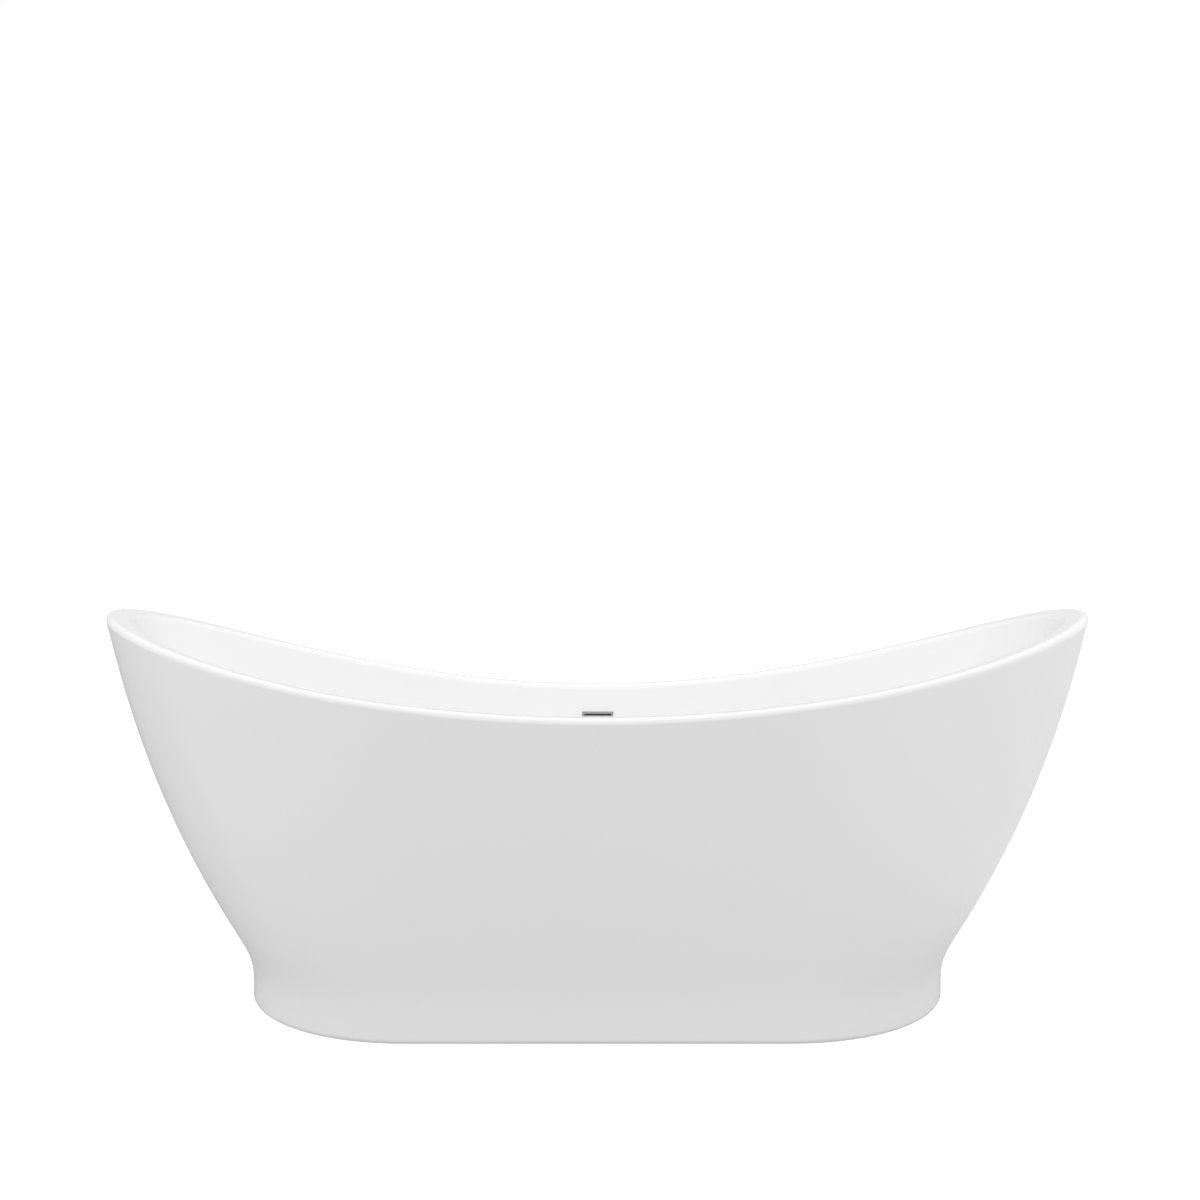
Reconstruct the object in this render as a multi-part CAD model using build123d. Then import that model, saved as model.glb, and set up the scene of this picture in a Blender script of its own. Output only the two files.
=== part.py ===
from build123d import *
import math
import os

# Freestanding double-slipper bathtub, in millimetres.
# X runs along the tub, +Y is the side that carries the overflow, +Z is up.
# The origin is on the floor, under the middle of the tub.
#
# An acrylic basin and an acrylic skirt, each backed with fibreglass, meet under a rolled rim.
# A plywood board and a steel frame on six levelling feet carry the basin floor.
# A click-clack waste sits in the middle of the floor, and a slotted overflow drains into it.

# ---- Outer shape ---------------------------------------------------------------------------
overall_length = 1806.0
overall_width = 786.0
end_height = 707.0
mid_height = 534.0
base_length = 1272.0
base_width = 648.0
straight_half = 313.0  # half the straight stretch of each long side
plinth_height = 31.0  # upright foot of the skirt
waist_height = 128.0  # where the hollow above the plinth ends
waist_pull = 39.0  # how tightly the hollow turns
waist_flare_end = 32.0
waist_flare_side = 9.0
end_lean_low = 1.6853  # outward lean at the wall's foot and top, in mean leans of that wall
end_lean_high = 0.4805
side_lean_low = 1.0788
side_lean_high = 0.6324
skin_pull = 197.0  # how long the wall holds its lean at each end of its curve
trim_margin = 39.0  # skin left above the ends before the rim is cut
round_fullness = 0.5523  # handle length that makes a cubic quarter turn an ellipse
waist_fullness = 0.581
rim_fullness = 0.604

# ---- Shells --------------------------------------------------------------------------------
skirt_wall = 6.0
basin_wall = 6.0
backing_wall = 3.0
rim_width = 40.0
rim_flange = 9.0
rim_lip_drop = 22.0  # how far the rim's outer lip turns down to the seam
rim_outer_radius = 9.0
rim_inner_radius = 15.0
bond_width = 10.0
bond_depth = 27.0
foot_flange_width = 24.0  # inward return at the skirt's lower edge
foot_flange_thickness = 6.0
foot_edge_radius = 8.0

# ---- Inside of the basin -------------------------------------------------------------------
floor_height = 125.0
floor_inset_end = 116.0  # from the skirt's foot to the end of the flat floor
floor_inset_side = 109.0
heel_rise = 100.0  # height of the rounded foot of the walls
heel_flare_end = 4.0  # how far that foot ends beyond the skirt's foot
heel_inset_side = 43.0
backrest_lean_low = 1.3401
backrest_lean_high = 0.7133
inner_side_lean_low = 1.4875
inner_side_lean_high = 0.6375
inner_pull = 130.0
corner_pull = 2 / 3  # share of the way to the corner, for a round foot
floor_fall = 8.0  # slope of the floor down to the waste
fall_inset = 30.0  # flat border left around the slope
recess_radius = 38.0
recess_depth = 3.0

# ---- Waste in the middle of the floor ------------------------------------------------------
joint_gap = 0.05  # radial clearance of turning and sliding fits
hole_gap = 2.0  # radial clearance of the waste in the floor's hole
waste_seal_thickness = 1.5
waste_rim_radius = 35.0
waste_rim_thickness = 2.5
waste_rim_round = 1.5
waste_seal_inset = 1.0  # seal's edge inside the rim's edge
waste_mouth_radius = 24.0
waste_barrel_radius = 23.0
waste_bore_radius = 20.5
waste_barrel_length = 43.0
hub_radius = 9.0
hub_height = 6.0
hub_drop = 14.0  # from the top of the waste's rim to the top of its hub
spoke_width = 3.0
spoke_count = 3
spoke_bite = 1.0  # spoke sunk into hub and barrel at each end
washer_thickness = 3.0
washer_radius = 34.0
nut_height = 9.0
waste_nut_flats = 60.0
tee_radius = 29.0
tee_wall = 3.0
tee_socket = 14.0
tee_bottom = 36.0
inlet_height = 49.0
inlet_reach = 60.0
outlet_pipe_radius = 19.05
outlet_pipe_bottom = 4.0
outlet_pipe_free = 13.0  # straight end below the nut
outlet_insert_radius = 17.5
outlet_pipe_wall = 1.6
outlet_insert = 10.0  # pipe inside the tee, above its floor
spout_radius = 24.0
spout_length = 10.0
outlet_nut_bottom = 18.0
outlet_spout_gap = 0.1
outlet_nut_overlap = 8.0  # nut over spout
outlet_nut_flats = 56.0
outlet_seal_height = 4.0

# ---- Click-clack stopper -------------------------------------------------------------------
cartridge_radius = 6.5
cartridge_drop = 25.0  # below the hub's underside
cartridge_floor = 2.0
cartridge_rise = 5.0  # above the hub's top
chamber_radius = 5.0
cartridge_cap_height = 4.0
stem_radius = 3.0
plunger_radius = 4.7
plunger_height = 3.0
plunger_shut = 18.0  # plunger's underside above the chamber floor, stopper shut
stopper_travel = 9.0  # the stopper is drawn open, lifted by this much
spring_wire_radius = 0.55
spring_turns = 5
stopper_seal_thickness = 1.6
stopper_seal_radius = 30.0
stopper_cap_radius = 31.5
stopper_cap_edge = 2.2
stopper_cap_dome = 3.0

# ---- Slotted overflow ----------------------------------------------------------------------
overflow_drop = 64.0  # below the rim's top at mid length
overflow_face_width = 68.0
overflow_face_height = 10.0
overflow_face_thickness = 2.4
overflow_face_round = 0.9
overflow_bed = 0.01  # thin bed of sealant behind the face
sleeve_width = 61.0
sleeve_height = 7.6
sleeve_wall = 1.2
sleeve_cover = 0.4  # face beyond the sleeve's lower side
sleeve_gap = 0.3  # around the sleeve in the wall
sleeve_reach = 7.0  # how far the sleeve enters the box
overflow_slot_height = 3.4
overflow_gasket_thickness = 1.5
overflow_box_width = 86.0
overflow_box_height = 30.0
overflow_box_depth = 19.0
overflow_box_wall = 2.5
overflow_box_corner = 4.0
overflow_box_edge = 1.2
spigot_length = 24.0
spigot_wall = 1.5
hose_radius = 9.0
hose_bore = 7.0
hose_from_wall = 12.0  # hose's centre line from the basin's backing
hose_bend = 62.0
hose_overlap = 20.0
clamp_band = 0.8
clamp_width = 9.0
clamp_screw_length = 14.0
clamp_screw_radius = 2.2
clamp_from_end = 4.0  # from the hose's end to the band
clamp_house_length = 8.4
clamp_house_width = 5.0
clamp_house_rise = 2.0  # middle of the screw housing beyond the band
clamp_screw_rise = 0.5

# ---- Floor board and frame -----------------------------------------------------------------
board_thickness = 12.0
board_margin = 12.0  # board beyond the flat of the basin floor
board_hole_gap = 4.0  # around the waste's lock nut
tube_size = 25.0
tube_wall = 2.0
rail_half_spacing = 150.0
rail_end_gap = 136.0
end_bar_inset = 30.0
end_bar_half = 190.0
bar_end_gap = 10.0
tube_cap_flange = 2.0
tube_cap_plug = 12.0
tube_cap_gap = 0.2
tube_cap_round = 0.9
board_screw_radius = 3.0
board_screw_bite = 8.0
board_screw_near = 110.0
board_screw_inset = 75.0
screw_head_height = 4.0
screw_head_margin = 4.0  # width across flats beyond the shank's diameter
screw_end_gap = 1.0  # left free at the bottom of a screw's hole
screw_gap = 0.1

# ---- Skirt brackets ------------------------------------------------------------------------
bracket_width = 36.0
bracket_edge = 5.0  # from the end of the straight side
bracket_sheet = 3.0
bracket_tab = 46.0
bracket_floor_gap = 2.0
bracket_screw_radius = 2.4
bracket_screw_reach = 6.0
bracket_screw_inset = 27.0

# ---- Levelling feet ------------------------------------------------------------------------
stud_radius = 6.0
foot_inset = 85.0
foot_nut_height = 10.0
lock_nut_height = 8.0
foot_nut_flats = 19.0
stud_hole_gap = 0.6
foot_retract = 4.0
stud_head_gap = 1.0
pad_radius = 22.0
pad_height = 8.0
pad_hub_radius = 12.0
pad_hub_height = 5.0
stud_socket = 7.0
collar_flats = 17.0
collar_height = 5.0
tread_groove = 1.5  # depth of the ring groove under the pad
tread_outer = 0.7  # its radii, in pad radii
tread_inner = 0.5
pad_round = 2.8
stud_chamfer = 1.0

# ---- Values that follow from the ones above ------------------------------------------------
swoop_radius = ((overall_length / 2) ** 2 + (end_height - mid_height) ** 2) / (
    2 * (end_height - mid_height)
)
skin_top = end_height + trim_margin
floor_half_length = base_length / 2 - floor_inset_end
floor_half_width = base_width / 2 - floor_inset_side
heel_half_length = base_length / 2 + heel_flare_end
heel_half_width = base_width / 2 - heel_inset_side
heel_height = floor_height + heel_rise
recess_floor = floor_height - floor_fall - recess_depth
board_top = recess_floor - basin_wall - backing_wall
waste_top = recess_floor + waste_seal_thickness + waste_rim_thickness
waste_bottom = waste_top - waste_barrel_length
hub_top = waste_top - hub_drop
board_bottom = board_top - board_thickness
rail_bottom = board_bottom - tube_size
bar_bottom = rail_bottom - tube_size
skirt_inside = skirt_wall + backing_wall
skirt_inner_half = base_width / 2 - skirt_inside
bar_half = skirt_inner_half - bar_end_gap
bar_x = straight_half - bracket_width / 2 - bracket_edge
rail_half = base_length / 2 - rail_end_gap
end_bar_x = rail_half - end_bar_inset
foot_y = bar_half - foot_inset
foot_places = [(sx * bar_x, sy * foot_y) for sx in (-1, 1) for sy in (-1, 1)]
foot_places += [(-end_bar_x, 0), (end_bar_x, 0)]

UP = (Align.CENTER, Align.CENTER, Align.MIN)
INTO = (Align.CENTER, Align.CENTER, Align.MAX)


def write(name, shape):
    """Writes one sub-part; its file name is its name."""
    export_step(shape, f"parts/{name}.step")


# ---- Skins made of cubic patches -----------------------------------------------------------


def ring(z, half_length, half_width, fullness):
    """One control ring: a straight side, a rounded end, and how full that end is."""
    return {"z": z, "a": half_length, "b": half_width, "k": fullness}


def grown(rings, by, floor_drop=0.0):
    """The same skin, moved outwards by `by`, with its lowest rings dropped."""
    low = min(r["z"] for r in rings)
    drop = lambda r: floor_drop if r["z"] == low else 0.0
    return [ring(r["z"] - drop(r), r["a"] + by, r["b"] + by, r["k"]) for r in rings]


def quarter(r, sx, sy):
    """Control points of one rounded quarter of a ring, from the side to the end."""
    reach = r["a"] - straight_half
    points = [
        (straight_half, r["b"]),
        (straight_half + r["k"] * reach, r["b"]),
        (r["a"], r["k"] * r["b"]),
        (r["a"], 0),
    ]
    return [(sx * x, sy * y, r["z"]) for x, y in points]


def outline(r):
    """Flat face inside one ring."""
    edges = []
    for sy in (1, -1):
        y = sy * r["b"]
        edges.append(Edge.make_line((-straight_half, y, r["z"]), (straight_half, y, r["z"])))
        edges += [Edge.make_bezier(*quarter(r, sx, sy)) for sx in (1, -1)]
    return Face(Wire(edges))


def skin_solid(stretches):
    """Closed solid inside a skin. Each stretch is the control rings of one height of wall."""
    faces = [outline(stretches[0][0]), outline(stretches[-1][-1])]
    for rings in stretches:
        for sy in (1, -1):
            ends = (-straight_half, straight_half)
            side = [[(x, sy * r["b"], r["z"]) for x in ends] for r in rings]
            faces.append(Face.make_bezier_surface(side))
            for sx in (1, -1):
                faces.append(Face.make_bezier_surface([quarter(r, sx, sy) for r in rings]))
    solid = Solid(Shell(faces))
    return solid if solid.volume > 0 else Solid(Shell([-f for f in faces]))


def cubic(values, t):
    """A cubic's value at t, from its four control values."""
    p0, p1, p2, p3 = values
    s = 1 - t
    return s**3 * p0 + 3 * s * s * t * p1 + 3 * s * t * t * p2 + t**3 * p3


def share_at_height(levels, height):
    """How far along a cubic stretch its height is reached, found by halving."""
    low, high = 0.0, 1.0
    for _ in range(60):
        middle = (low + high) / 2
        low, high = (middle, high) if cubic(levels, middle) < height else (low, middle)
    return (low + high) / 2


def top_reach(levels, start, lean_low, lean_high, pull, height, wanted):
    """The reach a cubic wall needs at its top so that it has the wanted reach at a height."""
    t = share_at_height(levels, height)
    s = 1 - t
    from_foot = s**3 * start + 3 * s * s * t * (start + pull * lean_low)
    from_lean = -3 * s * t * t * pull * lean_high
    return (wanted - from_foot - from_lean) / (3 * s * t * t + t**3)


def wall_leans(z0, a0, b0, shares, inset):
    """Outward leans of a wall from its foot to the rim: end low, end high, side low, side high."""
    end_mean = (overall_length / 2 - inset - a0) / (end_height - z0)
    side_mean = (overall_width / 2 - inset - b0) / (mid_height - z0)
    return [share * mean for share, mean in zip(shares, (end_mean, end_mean, side_mean, side_mean))]


def leaning_wall(z0, z1, foot, fullness, leans, pull, inset):
    """Control rings from height z0 to z1 that meet the rim at its stated length and width."""
    a0, b0 = foot
    k0, k1 = fullness
    end_low, end_high, side_low, side_high = leans
    levels = (z0, z0 + pull, z1 - pull, z1)
    half_length, half_width = overall_length / 2 - inset, overall_width / 2 - inset
    a1 = top_reach(levels, a0, end_low, end_high, pull, end_height, half_length)
    b1 = top_reach(levels, b0, side_low, side_high, pull, mid_height, half_width)
    return [
        ring(z0, a0, b0, k0),
        ring(z0 + pull, a0 + pull * end_low, b0 + pull * side_low, k0),
        ring(z1 - pull, a1 - pull * end_high, b1 - pull * side_high, k1),
        ring(z1, a1, b1, k1),
    ]


def outer_stretches():
    """The skirt's skin: an upright plinth, a hollow waist and a leaning wall."""
    a0, b0 = base_length / 2, base_width / 2
    a1, b1 = a0 + waist_flare_end, b0 + waist_flare_side
    low, turn = waist_height, waist_pull
    shares = (end_lean_low, end_lean_high, side_lean_low, side_lean_high)
    leans = wall_leans(low, a1, b1, shares, 0.0)
    plinth = [ring(z, a0, b0, round_fullness) for z in (0.0, plinth_height)]
    waist = [
        ring(plinth_height, a0, b0, round_fullness),
        ring(plinth_height + turn, a0, b0, round_fullness),
        ring(low - turn, a1 - turn * leans[0], b1 - turn * leans[2], waist_fullness),
        ring(low, a1, b1, waist_fullness),
    ]
    fullness = (waist_fullness, rim_fullness)
    wall = leaning_wall(low, skin_top, (a1, b1), fullness, leans, skin_pull, 0.0)
    return [plinth, waist, wall]


def inner_stretches():
    """The basin's inside: a wall foot rounded out of the floor, and a leaning wall."""
    a0, b0 = floor_half_length, floor_half_width
    a1, b1 = heel_half_length, heel_half_width
    rise = heel_rise
    shares = (backrest_lean_low, backrest_lean_high, inner_side_lean_low, inner_side_lean_high)
    leans = wall_leans(heel_height, a1, b1, shares, rim_width)
    corner_a, corner_b = a1 - rise * leans[0], b1 - rise * leans[2]
    pull = corner_pull
    heel = [
        ring(floor_height, a0, b0, round_fullness),
        ring(
            floor_height,
            a0 + pull * (corner_a - a0),
            b0 + pull * (corner_b - b0),
            round_fullness,
        ),
        ring(
            heel_height - pull * rise,
            a1 + pull * (corner_a - a1),
            b1 + pull * (corner_b - b1),
            waist_fullness,
        ),
        ring(heel_height, a1, b1, waist_fullness),
    ]
    fullness = (waist_fullness, rim_fullness)
    wall = leaning_wall(heel_height, skin_top, (a1, b1), fullness, leans, inner_pull, rim_width)
    return [heel, wall]


def outer_skin(inset=0.0):
    return skin_solid([grown(rings, -inset) for rings in outer_stretches()])


def inner_skin(outset=0.0, floor_drop=0.0):
    heel, wall = inner_stretches()
    return skin_solid([grown(heel, outset, floor_drop), grown(wall, outset)])


def above_rim(drop=0.0):
    """Everything above the rim's curve, which is a round arc along the tub."""
    axis = Pos(0, 0, mid_height + swoop_radius) * Rot(90, 0, 0)
    return axis * Cylinder(swoop_radius + drop, 2 * overall_width)


def inner_wall_at(height):
    """Half width of the basin's inside at a height on its straight side, and its lean there."""
    wall = inner_stretches()[1]
    levels, widths = [r["z"] for r in wall], [r["b"] for r in wall]
    t = share_at_height(levels, height)
    near = share_at_height(levels, height + 1)
    return cubic(widths, t), cubic(widths, near) - cubic(widths, t)


def rod(radius, bottom, top):
    """A plain round bar about Z."""
    return Pos(0, 0, bottom) * Cylinder(radius, top - bottom, align=UP)


def round_ring(outer, inner, bottom, top):
    """A plain ring about Z."""
    return rod(outer, bottom, top) - rod(inner, bottom, top)


def hexagon(flats, bottom, top):
    """A hexagonal bar about Z, by its width across flats."""
    return Pos(0, 0, bottom) * extrude(RegularPolygon(flats / math.sqrt(3), 6), top - bottom)


# ---- Basin and skirt -----------------------------------------------------------------------


def fall_to_waste(drop=0.0, outset=0.0):
    """The shallow dish of the floor and the recess that the waste's rim sits in."""
    low = floor_height - floor_fall - drop
    edge = Ellipse(floor_half_length - fall_inset + outset, floor_half_width - fall_inset + outset)
    top = Plane.XY.offset(floor_height - drop)
    dish = loft([top * edge, Plane.XY.offset(low) * Circle(recess_radius + outset)], ruled=True)
    recess = rod(recess_radius + outset, low - recess_depth, low)
    return dish + recess + top * extrude(edge, 1.0)


def basin_inside(outset=0.0):
    return inner_skin(outset, outset) + fall_to_waste(outset, outset)


def full_tub():
    """The tub as one block with its basin, its rolled rim and its rounded lower edge."""
    block = outer_skin() - above_rim()
    block = block - basin_inside()
    rim = max((f for f in block.faces() if f.geom_type == GeomType.CYLINDER), key=lambda f: f.area)
    block = block.fillet(rim_outer_radius, rim.outer_wire().edges())
    rim = max((f for f in block.faces() if f.geom_type == GeomType.CYLINDER), key=lambda f: f.area)
    block = block.fillet(rim_inner_radius, rim.inner_wires()[0].edges())
    lower = block.faces().sort_by(Axis.Z)[0]
    return block.fillet(foot_edge_radius, lower.outer_wire().edges())


def overflow_frame():
    """Plane on the wall at the overflow: its X is the tub's, its Z points into the basin."""
    height = mid_height - overflow_drop
    half_width, lean = inner_wall_at(height)
    return Plane(origin=(0, half_width, height), x_dir=(1, 0, 0), z_dir=(0, -1, lean))


def wall_behind_overflow():
    """Thickness of basin and backing, square to the wall, which leans."""
    lean = inner_wall_at(mid_height - overflow_drop)[1]
    return (basin_wall + backing_wall) / math.hypot(1, lean)


def sleeve_block(depth, grow=0.0):
    """The sleeve's outline pushed `depth` into the wall, in the overflow's own frame."""
    middle = (sleeve_height - overflow_face_height) / 2 + sleeve_cover
    block = Box(sleeve_width + 2 * grow, sleeve_height + 2 * grow, depth, align=INTO)
    return Pos(0, middle, 0) * block


def overflow_hole():
    """The slot that the overflow's sleeve passes through."""
    start = Pos(0, 0, basin_wall)
    return overflow_frame() * start * sleeve_block(3 * basin_wall + backing_wall, sleeve_gap)


def waste_hole(bottom):
    """The round hole for the waste, from a height up into the basin."""
    return rod(waste_barrel_radius + hole_gap, bottom, floor_height)


def foot_layer():
    """Everything as low as the skirt's foot flange."""
    return Box(2 * overall_length, 2 * overall_width, foot_flange_thickness, align=UP)


def make_shells():
    tub = full_tub()
    inside = outer_skin(skirt_wall)
    opening = outer_skin(skirt_wall + foot_flange_width)

    skirt = tub - above_rim(rim_lip_drop)
    skirt = skirt - (inside - foot_layer()) - opening
    write("skirt_shell", skirt)

    upper = tub & above_rim(rim_lip_drop)
    under_flange = inside - above_rim(rim_flange)
    basin = upper - (under_flange - basin_inside(basin_wall))
    lower = basin_inside(basin_wall) - basin_inside()
    basin = basin + (lower - above_rim(rim_lip_drop))
    basin = basin - waste_hole(board_top) - overflow_hole()
    write("basin_shell", basin)


def make_backings():
    inside = outer_skin(skirt_wall)
    skirt = inside - outer_skin(skirt_inside) - above_rim(rim_flange + bond_depth)
    write("skirt_backing", skirt - foot_layer())

    bond = inside - outer_skin(skirt_wall + bond_width)
    bond = (bond - above_rim(rim_flange)) & above_rim(rim_flange + bond_depth)
    write("rim_bond", bond)

    body = inner_skin(basin_wall + backing_wall, floor_height - board_top)
    backing = body - basin_inside(basin_wall) - above_rim(rim_flange + backing_wall)
    backing = backing - waste_hole(board_bottom) - overflow_hole()
    write("basin_backing", backing)


# ---- Board, frame and brackets -------------------------------------------------------------


def board_screw_places():
    xs = (board_screw_near, rail_half - board_screw_inset)
    return [(sx * x, sy * rail_half_spacing) for x in xs for sx in (-1, 1) for sy in (-1, 1)]


def make_board():
    half_length, half_width = floor_half_length + board_margin, floor_half_width + board_margin
    plan = ring(board_bottom, half_length, half_width, round_fullness)
    board = extrude(outline(plan), board_thickness, dir=(0, 0, 1))
    board -= rod(waste_nut_flats / math.sqrt(3) + board_hole_gap, board_bottom, board_top)
    pilot = rod(board_screw_radius + screw_gap, board_bottom, board_bottom + board_screw_bite)
    for x, y in board_screw_places():
        board -= Pos(x, y, 0) * pilot
    write("floor_board", board)


def square_tube(length):
    """Square steel tube along X, centred."""
    hollow = tube_size - 2 * tube_wall
    return Box(length, tube_size, tube_size) - Box(length, hollow, hollow)


def tube_cap():
    """Plastic end cap for a tube whose end is at X = 0, plugged in towards -X."""
    plug = tube_size - 2 * (tube_wall + tube_cap_gap)
    flange = Pos(tube_cap_flange / 2, 0, 0) * Box(tube_cap_flange, tube_size, tube_size)
    flange = flange.fillet(tube_cap_round, flange.faces().sort_by(Axis.X)[-1].edges())
    return flange + Pos(-tube_cap_plug / 2, 0, 0) * Box(tube_cap_plug, plug, plug)


def screw(radius, under, reach):
    """Hexagon-headed screw about Z, driven up from a face at height `under`."""
    flats = 2 * radius + screw_head_margin
    return hexagon(flats, under - screw_head_height, under) + rod(radius, under, under + reach)


def make_rails():
    """The two long tubes under the board. Returns their end caps."""
    hole = rod(board_screw_radius + screw_gap, bar_bottom, board_top)
    caps = []
    for name, side in (("rail_front", -1), ("rail_back", 1)):
        middle = Pos(0, side * rail_half_spacing, rail_bottom + tube_size / 2)
        rail = middle * square_tube(2 * rail_half)
        for x, y in board_screw_places():
            if y * side > 0:
                rail -= Pos(x, y, 0) * hole
        write(name, rail)
        caps += [middle * Rot(0, 0, turn) * Pos(rail_half, 0, 0) * tube_cap() for turn in (0, 180)]
    return caps


def make_bars():
    """The four tubes across the tub, under the rails. Returns their end caps."""
    stud_hole = rod(stud_radius + stud_hole_gap, 0.0, board_top)
    screw_hole = rod(bracket_screw_radius + screw_gap, 0.0, bar_bottom + 2 * tube_wall)
    bars = [
        ("crossbar_left", -bar_x, bar_half),
        ("crossbar_right", bar_x, bar_half),
        ("crossbar_left_end", -end_bar_x, end_bar_half),
        ("crossbar_right_end", end_bar_x, end_bar_half),
    ]
    caps = []
    for name, x, half in bars:
        middle = Pos(x, 0, bar_bottom + tube_size / 2)
        bar = middle * Rot(0, 0, 90) * square_tube(2 * half)
        for foot_x, y in foot_places:
            if foot_x == x:
                bar -= Pos(x, y, 0) * stud_hole
        for bracket_x, y in bracket_places():
            if bracket_x == x:
                bar -= Pos(x, y - math.copysign(bracket_screw_inset, y), 0) * screw_hole
        write(name, bar)
        caps += [middle * Rot(0, 0, turn) * Pos(half, 0, 0) * tube_cap() for turn in (90, -90)]
    return caps


def make_frame():
    write("tube_end_caps", Compound(children=make_rails() + make_bars()))
    reach = tube_size + board_screw_bite - screw_end_gap
    driven = screw(board_screw_radius, rail_bottom, reach)
    screws = [Pos(x, y, 0) * driven for x, y in board_screw_places()]
    write("board_screws", Compound(children=screws))


def bracket_places():
    """Where each bracket's upright meets the skirt, above the plinth's lower edge."""
    return [(sx * bar_x, sy * skirt_inner_half) for sx in (-1, 1) for sy in (-1, 1)]


def make_brackets():
    low = foot_flange_thickness + bracket_floor_gap
    brackets, screws = [], []
    for x, y in bracket_places():
        inward = -math.copysign(1, y)
        leg = Box(bracket_width, bracket_sheet, bar_bottom - low, align=UP)
        leg = Pos(x, y + inward * bracket_sheet / 2, low) * leg
        tab = Box(bracket_width, bracket_tab, bracket_sheet, align=INTO)
        tab = Pos(x, y + inward * bracket_tab / 2, bar_bottom) * tab
        at_screw = Pos(x, y + inward * bracket_screw_inset, 0)
        hole = rod(bracket_screw_radius + screw_gap, low, bar_bottom)
        brackets.append(leg + tab - at_screw * hole)
        under = bar_bottom - bracket_sheet
        screws.append(at_screw * screw(bracket_screw_radius, under, bracket_screw_reach))
    write("skirt_brackets", Compound(children=brackets))
    write("bracket_screws", Compound(children=screws))


# ---- Levelling feet ------------------------------------------------------------------------


def make_feet():
    nut_bottom = bar_bottom - foot_nut_height
    lock_bottom = nut_bottom - lock_nut_height
    bore = rod(stud_radius + joint_gap, 0.0, bar_bottom)
    weld_nut = hexagon(foot_nut_flats, nut_bottom, bar_bottom) - bore
    lock_nut = hexagon(foot_nut_flats, lock_bottom, nut_bottom) - bore
    for name, nut in (("foot_weld_nuts", weld_nut), ("foot_lock_nuts", lock_nut)):
        write(name, Compound(children=[Pos(x, y, 0) * nut for x, y in foot_places]))

    hub_top_z = pad_height + pad_hub_height
    socket_bottom = hub_top_z - stud_socket
    stud_top = rail_bottom - foot_retract - stud_head_gap
    pad = rod(pad_radius, 0.0, pad_height)
    pad = pad.fillet(pad_round, pad.faces().sort_by(Axis.Z)[-1].edges())
    pad += rod(pad_hub_radius, pad_height, hub_top_z)
    pad -= round_ring(pad_radius * tread_outer, pad_radius * tread_inner, 0.0, tread_groove)
    pad -= rod(stud_radius, socket_bottom, hub_top_z)

    stud = rod(stud_radius, socket_bottom, stud_top)
    stud = stud.chamfer(stud_chamfer, None, stud.edges().sort_by(Axis.Z)[-1:])
    stud += hexagon(collar_flats, hub_top_z, hub_top_z + collar_height)

    for number, (x, y) in enumerate(foot_places, start=1):
        write(f"foot_{number}_pad", Pos(x, y, 0) * pad)
        write(f"foot_{number}_stud", Pos(x, y, 0) * stud)


# ---- Waste ---------------------------------------------------------------------------------


def make_waste():
    rim_bottom = recess_floor + waste_seal_thickness
    seal_radius = waste_rim_radius - waste_seal_inset
    write("waste_seal", round_ring(seal_radius, waste_barrel_radius, recess_floor, rim_bottom))

    rim = rod(waste_rim_radius, rim_bottom, waste_top)
    rim = rim.fillet(waste_rim_round, rim.faces().sort_by(Axis.Z)[-1].edges())
    mouth_depth = waste_mouth_radius - waste_bore_radius
    mouth = Cone(waste_bore_radius, waste_mouth_radius, mouth_depth, align=INTO)
    flange = rim + rod(waste_barrel_radius, waste_bottom, waste_top)
    flange = flange - rod(waste_bore_radius, waste_bottom, waste_top) - Pos(0, 0, waste_top) * mouth
    write("waste_flange", flange + waste_hub())

    washer_bottom = board_top - washer_thickness
    write("waste_washer", round_ring(washer_radius, waste_barrel_radius, washer_bottom, board_top))
    nut_bottom = washer_bottom - nut_height
    nut = hexagon(waste_nut_flats, nut_bottom, washer_bottom)
    write("waste_lock_nut", nut - rod(waste_barrel_radius, nut_bottom, washer_bottom))
    make_tee()
    make_outlet()


def waste_hub():
    """The hub that holds the stopper's cartridge, on spokes inside the waste's bore."""
    bottom = hub_top - hub_height
    hub = round_ring(hub_radius, cartridge_radius, bottom, hub_top)
    spoke_length = waste_bore_radius - hub_radius + 2 * spoke_bite
    spoke = Box(spoke_length, spoke_width, hub_height, align=UP)
    spoke = Pos((waste_bore_radius + hub_radius) / 2, 0, bottom) * spoke
    for n in range(spoke_count):
        hub += Rot(0, 0, n * 360 / spoke_count) * spoke
    return hub & round_ring(waste_bore_radius + spoke_bite, cartridge_radius, bottom, hub_top)


def make_tee():
    """The body under the waste: a socket for its barrel, an inlet from the overflow and a spout."""
    top = waste_bottom + tee_socket
    spout_bottom = tee_bottom - spout_length
    chamber_bottom = tee_bottom + tee_wall
    across = Pos(0, 0, inlet_height) * Rot(-90, 0, 0)
    body = rod(tee_radius, tee_bottom, top)
    body = body.fillet(tee_wall, body.faces().sort_by(Axis.Z)[0].edges())
    body += across * Cylinder(hose_bore, inlet_reach, align=UP)
    body += rod(spout_radius, spout_bottom, tee_bottom)
    body -= rod(tee_radius - tee_wall, chamber_bottom, waste_bottom)
    body -= rod(waste_barrel_radius, waste_bottom, top)
    body -= rod(outlet_insert_radius, spout_bottom, chamber_bottom + tee_wall)
    body -= across * Cylinder(hose_bore - spigot_wall, inlet_reach, align=UP)
    write("waste_tee", body)


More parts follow.
